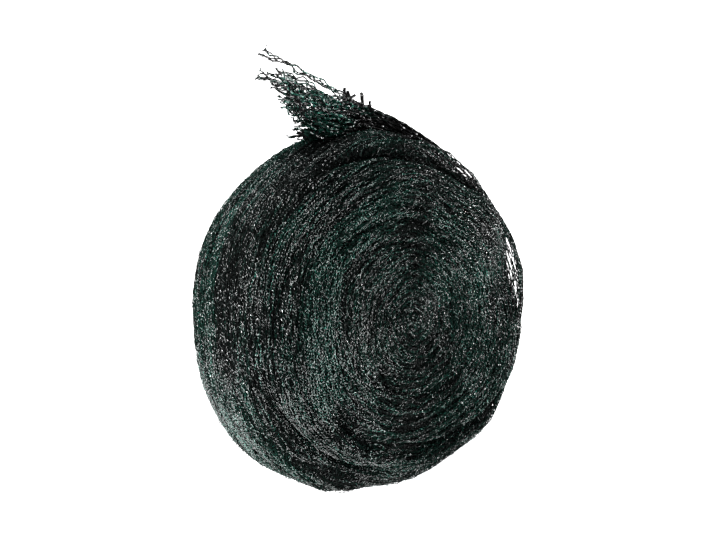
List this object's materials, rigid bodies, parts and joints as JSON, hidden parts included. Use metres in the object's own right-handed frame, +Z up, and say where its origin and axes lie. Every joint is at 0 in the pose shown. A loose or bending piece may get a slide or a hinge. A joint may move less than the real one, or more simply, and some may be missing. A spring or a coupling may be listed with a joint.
{
  "type": "pond net",
  "caption": "Dark green and black pond net, gathered and wound into a roll that stands on its rim, with a loose end that fans out as open net with cut threads.",
  "frame": {"origin": "on the floor under the middle of the bounding box", "axes": "+Z up; +Y along the roll's axis, away from the front face of the spiral; +X to the right seen from the front"},
  "size_m": [0.1532, 0.0686, 0.185],
  "materials": {
    "net": "knitted polyethylene thread, near black and dark green in bands, with small glossy highlights"
  },
  "bodies": {
    "root": {"roll": "net", "loose_end": "net"}
  },
  "joints": []
}
